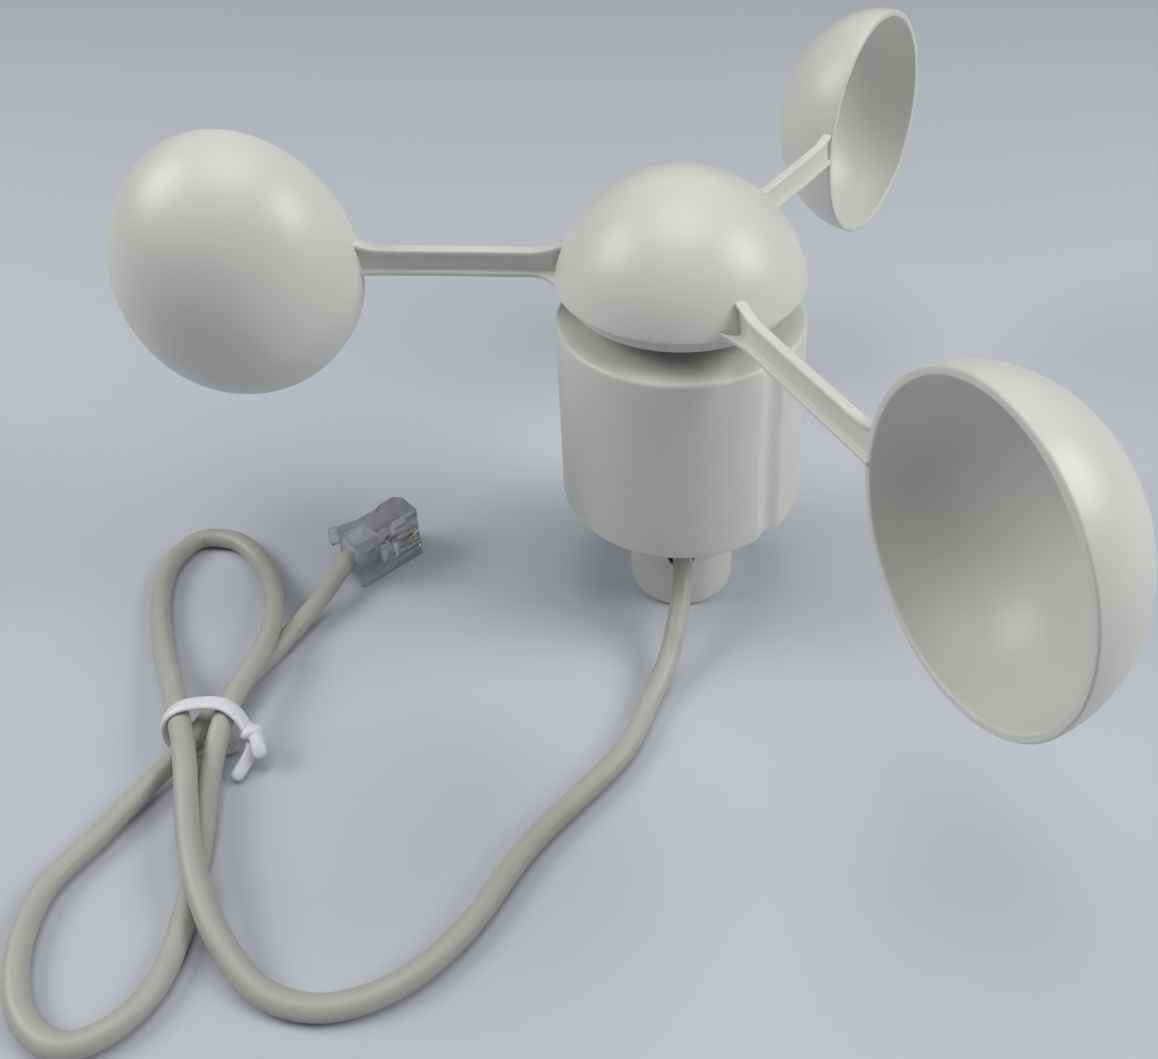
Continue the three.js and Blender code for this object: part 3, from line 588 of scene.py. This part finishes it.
def make_contacts():
    """Gold-plated blades, each with a notch between two points on the cores' side."""
    blade = rounded([
        (8.6, 2.9, 0), (8.9, 0.35, 0.3), (10.9, 0.3, 0.4), (11.5, 1.2, 0.3), (11.4, 2.9, 0),
        (10.6, 2.2, 0.1), (10.0, 3.0, 0), (9.4, 2.2, 0.1),
    ], closed=True, steps=4)
    contacts = []
    for i, z in enumerate(CONTACT_PLACES):
        plate = prism(blade, z - CONTACT_HALF_THICKNESS, z + CONTACT_HALF_THICKNESS)
        contact = finish_mesh(f"plug_blade_{i + 1}", plate, PLUG_PLACE, sharp=30)
        contacts.append(dress(contact, "gold_plate", "stator", f"plug_contact_{i + 1}"))
    return contacts


def make_strain_bar():
    """The bar in the opening nearer the cable, which grips the cable's jacket."""
    mid_z = PLUG_MIDDLE[1]
    bar = boxes("plug_strain_bar", PLUG_PLACE, ((1.7, 1.15, mid_z - 2.2), (4.0, 1.85, mid_z + 2.2)))
    return dress(bar, "clear_plastic", "stator")


def make_cores():
    """The ends of the cable's two cores, which spread to the two middle contacts."""
    mid_y, mid_z = PLUG_MIDDLE
    cores = []
    wires = zip((-1, 1), CONTACT_PLACES[1:3], ("white_insulation", "brown_insulation"))
    for i, (side, z, slot) in enumerate(wires):
        path = [PLUG_PLACE @ Vector(p) for p in (
            (CABLE_END - 0.4, mid_y, mid_z + side * 0.6), (CABLE_END + 1.2, mid_y - 0.1, mid_z + side * 0.7),
            (7.4, CORE_DEPTH, z), (10.4, CORE_DEPTH, z),
        )]
        core = curve_tube(f"plug_core_{i + 1}", smooth_line(path, 0.3), CORE_DIAMETER)
        cores.append(dress(core, slot, "stator"))
    return cores


def make_latch():
    """A sprung tongue: its foot is near the nose, and its free end stands off from the shell."""
    mid_z = PLUG_MIDDLE[1]
    nose = PLUG_LENGTH - 0.4
    side_view = rounded([
        (nose, LATCH_FOOT, 0.1), (nose, LATCH_FOOT + 0.7, 0.3), (9.6, LATCH_FOOT + 1.2, 1.5),
        (6.4, LATCH_FOOT + 2.6, 0.5), (5.9, LATCH_FOOT + 2.3, 0.2), (0.5, LATCH_FOOT + 4.2, 0.3),
        (0.5, LATCH_FOOT + 3.2, 0.2), (6, LATCH_FOOT + 1.4, 1.0), (9.6, LATCH_FOOT + 0.5, 1.2),
        (PLUG_LENGTH - 1.9, LATCH_FOOT, 0.2),
    ], closed=True, steps=4)
    tongue = prism(side_view, mid_z - LATCH_WIDTH / 2, mid_z + LATCH_WIDTH / 2)
    latch = finish_mesh("plug_tongue", tongue, PLUG_PLACE, sharp=30)
    return dress(latch, "clear_plastic", "latch", "plug_latch")


def make_plug():
    """The plug's pieces, each in the plug's frame: +X to the nose, +Y to the latch, +Z along its width."""
    return [make_plug_shell(), *make_contacts(), make_strain_bar(), *make_cores(), make_latch()]


cable, cable_length = make_cable()
tie = make_tie()
plug_pieces = make_plug()


# ---- rotor -----------------------------------------------------------------------------------
def cup_profile():
    """The cup's wall: (radius, depth behind the rim) from the middle outside to the middle inside."""
    lip = CUP_LIP
    bowl = CUP_DEPTH - CUP_COLLAR
    outer = ellipse_arc(0, CUP_COLLAR, CUP_HALF_HEIGHT, bowl, math.pi / 2, 0, 40)
    rim = ellipse_arc(CUP_HALF_HEIGHT - lip, lip, lip, lip, 0, -math.pi / 2, 6)
    rim += ellipse_arc(CUP_HALF_HEIGHT - CUP_WALL + lip, lip, lip, lip, -math.pi / 2, -math.pi, 6)
    inner = ellipse_arc(0, CUP_COLLAR, CUP_HALF_HEIGHT - CUP_WALL, bowl - CUP_WALL, 0, math.pi / 2, 40)
    outer[0] = (0, CUP_DEPTH)
    inner[-1] = (0, CUP_DEPTH - CUP_WALL)
    return [*outer, *rim, *inner]


def arm_mesh():
    """I-section arm along +X, its flanges spread where they meet the dome and the cup."""
    start = DOME_RADIUS - ARM_START_DEPTH
    root = DOME_RADIUS - ARM_ROOT_DEPTH
    end = CUP_CIRCLE_RADIUS - CUP_HALF_WIDTH + ARM_CUP_OVERLAP
    middle = CUP_HEIGHT + ARM_RISE
    half = ARM_HALF_HEIGHT - ARM_FLANGE_THICKNESS / 2
    stations = [start + (end - start) * k / ARM_STEPS for k in range(ARM_STEPS + 1)]

    def near(x, place):
        return max(0.0, 1 - abs(x - place) / ARM_FLARE_LENGTH) ** 2

    def shift(x):
        return ARM_CUP_SHIFT * ((x - start) / (end - start)) ** 1.5

    def upper(x):
        flare = ARM_FLARE * (near(x, root) + 1.1 * near(x, end))
        return Vector((x, shift(x) + half * math.sin(ARM_LEAN), middle + half + flare))

    def lower(x):
        flare = 0.15 * ARM_FLARE * near(x, end)
        return Vector((x, shift(x) - half * math.sin(ARM_LEAN), middle - half - flare))

    def flange(centre, width, tilt):
        w, t = width / 2, ARM_FLANGE_THICKNESS / 2
        corners = rounded([(-w, -t, 0.25), (w, -t, 0.25), (w, t, 0.25), (-w, t, 0.25)], closed=True, steps=3)
        return [centre + Vector((0, y, z - y * math.tan(tilt))) for y, z in corners]

    def foot(x):
        spread = near(x, root)
        return flange(lower(x), ARM_LOWER_WIDTH + 2 * ARM_FOOT_SPREAD * spread, ARM_LEAN * (1 + 2.2 * spread))

    bm = bmesh.new()
    loft(bm, [flange(upper(x), ARM_UPPER_WIDTH, ARM_LEAN) for x in stations])
    loft(bm, [foot(x) for x in stations])
    side = Vector((0, ARM_WEB_THICKNESS / 2, 0))
    loft(bm, [[upper(x) + side, upper(x) - side, lower(x) - side, lower(x) + side] for x in stations])
    return bm


def dome_profile():
    """The dome: (radius, height) from its top, round the rim and the skirt, to the shaft's bore."""
    rim_angle = math.asin((DOME_RIM_HEIGHT - DOME_CENTRE_HEIGHT) / DOME_HALF_HEIGHT)
    outer = ellipse_arc(0, DOME_CENTRE_HEIGHT, DOME_RADIUS, DOME_HALF_HEIGHT, math.pi / 2, rim_angle, 44)
    outer[0] = (0, DOME_CENTRE_HEIGHT + DOME_HALF_HEIGHT)
    rim_radius = outer[-1][0]
    rim_bottom = DOME_RIM_HEIGHT - DOME_RIM_DEPTH
    roof_height = DOME_HALF_HEIGHT - DOME_WALL
    roof = ellipse_arc(0, DOME_CENTRE_HEIGHT, ROOF_RADIUS, roof_height,
                       math.asin(ROOF_RISE / roof_height), math.acos(BOSS_RADIUS / ROOF_RADIUS), 24)
    lip = rounded([
        outer[-1] + (0,), (rim_radius, rim_bottom, 0.35), (SKIRT_RADIUS, rim_bottom, 0.2),
        (SKIRT_RADIUS, SKIRT_BOTTOM, 0.4), (SKIRT_RADIUS - SKIRT_THICKNESS, SKIRT_BOTTOM, 0.4),
        roof[0] + (0,),
    ])
    boss = [
        (BOSS_RADIUS, BOSS_BOTTOM + BOSS_BEVEL), (BOSS_RADIUS - BOSS_BEVEL, BOSS_BOTTOM),
        (SHAFT_BORE_RADIUS, BOSS_BOTTOM), (SHAFT_BORE_RADIUS, SHAFT_BORE_TOP), (0, SHAFT_BORE_TOP),
    ]
    return [*outer[:-1], *lip, *roof[1:], *boss]


def make_cup(number, branch):
    centre = Matrix.Translation((CUP_CIRCLE_RADIUS, 0, CUP_HEIGHT))
    facing = Matrix.Rotation(-math.pi / 2, 4, "X")
    shell = lathe(cup_profile(), 144, squeeze=CUP_HALF_WIDTH / CUP_HALF_HEIGHT)
    cup = finish_mesh(f"cup_shell_{number}", shell, branch @ centre @ facing, sharp=60)
    dress(cup, "white_abs", "rotor", f"cup_{number}")


def make_arm(number, branch):
    """An arm, its flanges and web remeshed into one and smoothed, so that they meet in fillets."""
    arm = finish_mesh(f"arm_beam_{number}", arm_mesh(), branch, sharp=60)
    remesh = arm.modifiers.new("blend", "REMESH")
    remesh.mode = "VOXEL"
    remesh.voxel_size = ARM_VOXEL * MM
    smooth = arm.modifiers.new("soften", "SMOOTH")
    smooth.factor = 0.5
    smooth.iterations = 3
    apply_modifiers(arm)
    dress(arm, "white_abs", "rotor", f"arm_{number}")


def make_rotor():
    turn = Matrix.Rotation(ROTOR_REST_ANGLE, 4, "Z")
    for k in range(CUP_COUNT):
        branch = turn @ Matrix.Rotation(math.tau * k / CUP_COUNT, 4, "Z")
        make_cup(k + 1, branch)
        make_arm(k + 1, branch)
    dome = finish_mesh("dome_cover", lathe(dome_profile(), 160), turn)
    dress(dome, "white_abs", "rotor", "hub_dome")


# ---- housing and base ------------------------------------------------------------------------
FLUTE_INNER_LIMIT = HOUSING_TOP_RADIUS - 1.2  # points nearer the axis belong to the wall's inside or the neck
PROFILE_STEP = 3  # the housing's wall has a point about this often
UPRIGHT_TO_FRONT = Matrix.Rotation(math.pi / 2, 4, "X")  # turns +Z to -Y, the way the cable leaves


def flute(radius, angle):
    """Sink the wall's outside where the flute runs down it."""
    off = math.remainder(angle - FLUTE_ANGLE, math.tau) * HOUSING_TOP_RADIUS
    if radius < FLUTE_INNER_LIMIT or abs(off) > FLUTE_REACH:
        return radius
    return radius - FLUTE_DEPTH * (0.5 + 0.5 * math.cos(math.pi * off / FLUTE_REACH)) ** 0.8


def make_housing():
    """The wall, the ledge and the neck, then down the bearings' bore and back along the inside."""
    inner_radius = HOUSING_TOP_RADIUS - HOUSING_WALL
    profile = rounded([
        (HOUSING_BOTTOM_RADIUS, HOUSING_BOTTOM, 0.9), (HOUSING_TOP_RADIUS, HOUSING_LEDGE, 0.8),
        (NECK_RADIUS + 1.6, HOUSING_LEDGE + 1.4, 1.2), (NECK_RADIUS, HOUSING_LEDGE + 2.9, 0.6),
        (NECK_RADIUS, NECK_TOP, 0.5), (NECK_LIP_RADIUS, NECK_TOP, 0.3),
        (NECK_LIP_RADIUS, BEARING_BORE_TOP, 0), (BEARING_BORE_RADIUS, BEARING_BORE_TOP, 0),
        (BEARING_BORE_RADIUS, BEARING_BORE_BOTTOM, 0.2),
        (NECK_RADIUS, BEARING_BORE_BOTTOM, 0.2), (NECK_RADIUS, HOUSING_CEILING, 0.8),
        (inner_radius, HOUSING_CEILING, 1.0), (inner_radius, BASE_TOP + 2, 0.2),
        (HOUSING_MOUTH_RADIUS, HOUSING_BOTTOM, 0.3),
    ], closed=True)
    spaced = []
    for (r0, z0), (r1, z1) in zip(profile, profile[1:] + profile[:1]):
        parts = max(1, round(abs(z1 - z0) / PROFILE_STEP))
        spaced += [(r0 + (r1 - r0) * k / parts, z0 + (z1 - z0) * k / parts) for k in range(parts)]
    housing = finish_mesh("housing_shell", lathe(spaced, 360, wave=flute), sharp=35)
    dress(housing, "white_abs", "stator", "housing")


def make_base():
    """The base plate and the spigot, with the screws' recesses and holes and the cable's hole cut out."""
    inner_radius = SPIGOT_RADIUS - SPIGOT_WALL
    profile = rounded([
        (0, 0, 0), (SPIGOT_RADIUS, 0, 0.9), (SPIGOT_RADIUS + 0.1, BASE_UNDER, 0.5),
        (BASE_RADIUS, BASE_UNDER, 0.4), (BASE_RADIUS, BASE_TOP, 0.3), (inner_radius, BASE_TOP, 0.3),
        (inner_radius, SPIGOT_FLOOR, 0.6), (0, SPIGOT_FLOOR, 0),
    ])
    base = finish_mesh("base_moulding", lathe(profile, 128), sharp=35)
    holes = bmesh.new()
    for x, y in SCREW_CENTRES:
        recess = ellipse(x, y, SCREW_RECESS_RADIUS, SCREW_RECESS_RADIUS, 40)
        prism(recess, BASE_UNDER - 1, BASE_UNDER + SCREW_RECESS_DEPTH, holes)
        prism(ellipse(x, y, SCREW_HOLE_RADIUS, SCREW_HOLE_RADIUS, 40), BASE_UNDER, BASE_TOP + 1, holes)
    cut(base, finish_mesh("recesses", holes))
    cable_hole = prism(ellipse(0, 0, CABLE_HOLE_RADIUS, CABLE_HOLE_RADIUS, 48), 2, SPIGOT_RADIUS + 3)
    place = Matrix.Translation((0, 0, CABLE_HOLE_HEIGHT)) @ UPRIGHT_TO_FRONT
    cut(base, finish_mesh("cable_hole", cable_hole, place))
    dress(base, "white_abs", "stator", "base_cap")


def make_bush():
    """The rubber bush in the spigot's wall, which the cable leaves through."""
    profile = rounded([
        (BUSH_BORE, -BUSH_HALF_LENGTH, 0.2), (BUSH_FLANGE_RADIUS, -BUSH_HALF_LENGTH, 0.3),
        (BUSH_FLANGE_RADIUS, -0.5, 0.2), (BUSH_RADIUS, -0.5, 0.1),
        (BUSH_RADIUS, BUSH_HALF_LENGTH, 0.2), (BUSH_BORE, BUSH_HALF_LENGTH, 0.1),
    ], closed=True, steps=4)
    place = Matrix.Translation((0, SPIGOT_WALL + 0.6 - SPIGOT_RADIUS, CABLE_HOLE_HEIGHT)) @ UPRIGHT_TO_FRONT
    bush = finish_mesh("cable_bush", lathe(profile, 64), place)
    dress(bush, "black_rubber", "stator", "cable_grommet")


def make_screws():
    """Pan-head screws with a cross recess, heads down, in the base's recesses."""
    profile = rounded([
        (0, 0, 0), (SCREW_HEAD_RADIUS, 0.05, 0.6), (SCREW_HEAD_RADIUS, SCREW_HEAD_HEIGHT, 0.1),
        (SCREW_SHANK_RADIUS, SCREW_HEAD_HEIGHT, 0), (SCREW_SHANK_RADIUS, SCREW_SHANK_END, 0.2),
        (0, SCREW_TIP, 0),
    ])
    for i, (x, y) in enumerate(SCREW_CENTRES):
        turn = Matrix.Rotation(0.5 + 1.1 * i, 4, "Z")
        place = Matrix.Translation((x, y, BASE_UNDER + SCREW_HEAD_INSET)) @ turn
        screw = finish_mesh(f"base_pan_screw_{i + 1}", lathe(profile, 48), place)
        arms = [
            boxes("cross", place, ((-x_reach, -y_reach, -0.5), (x_reach, y_reach, CROSS_DEPTH)))
            for x_reach, y_reach in ((CROSS_REACH, CROSS_HALF_WIDTH), (CROSS_HALF_WIDTH, CROSS_REACH))
        ]
        cut(screw, *arms)
        dress(screw, "plated_steel", "stator", f"base_screw_{i + 1}")


make_rotor()
make_housing()
make_base()
make_bush()
make_screws()


# ---- the hidden works keep their CAD shapes ---------------------------------------------------
def dress_cad_nodes():
    slots = {entry["node"]: entry["material_slot"] for entry in frame["record"]["subparts"]}
    for name, node in frame["nodes"].items():
        node.data.materials.clear()
        node.data.materials.append(MATERIALS[slots[name]])


dress_cad_nodes()


# ---- floor and light -------------------------------------------------------------------------
FLOOR_REACH = 2500
FLOOR_BOTTOM = -20
FLOOR_TOP = -0.02  # just under the spigot's end
LIGHT_TARGET = (0, 0, 0.05)
LIGHT_COLOR = (1, 0.99, 0.96)
# Each light's name, place and size in metres, and power in watts.
LIGHTS = [
    ("overhead", (0, -0.05, 0.85), 0.6, 2.4),
    ("left", (-0.6, -0.02, 0.5), 0.45, 2.6),
    ("right", (0.6, -0.1, 0.5), 0.45, 3.3),
]


def make_floor():
    low = (-FLOOR_REACH, -FLOOR_REACH, FLOOR_BOTTOM)
    floor = boxes("floor", None, (low, (FLOOR_REACH, FLOOR_REACH, FLOOR_TOP)))
    floor.data.materials.append(procedural("floor_paper", (0.56, 0.58, 0.64), 0.85, 0.004, 3, 0.02, 400))


def make_light(name, place, size, power):
    data = bpy.data.lights.new(name, "AREA")
    data.shape = "DISK"
    data.size = size
    data.energy = power
    data.color = LIGHT_COLOR
    light = bpy.data.objects.new(name, data)
    light.location = place
    light.rotation_euler = (Vector(LIGHT_TARGET) - Vector(place)).to_track_quat("-Z", "Y").to_euler()
    bpy.context.scene.collection.objects.link(light)


def make_world():
    world = bpy.data.worlds.new("studio")
    world.use_nodes = True
    background = world.node_tree.nodes["Background"]
    background.inputs["Color"].default_value = (0.6, 0.7, 1.0, 1)
    background.inputs["Strength"].default_value = 0.07
    bpy.context.scene.world = world
    bpy.context.scene.view_settings.view_transform = "Standard"


make_floor()
for light in LIGHTS:
    make_light(*light)
make_world()
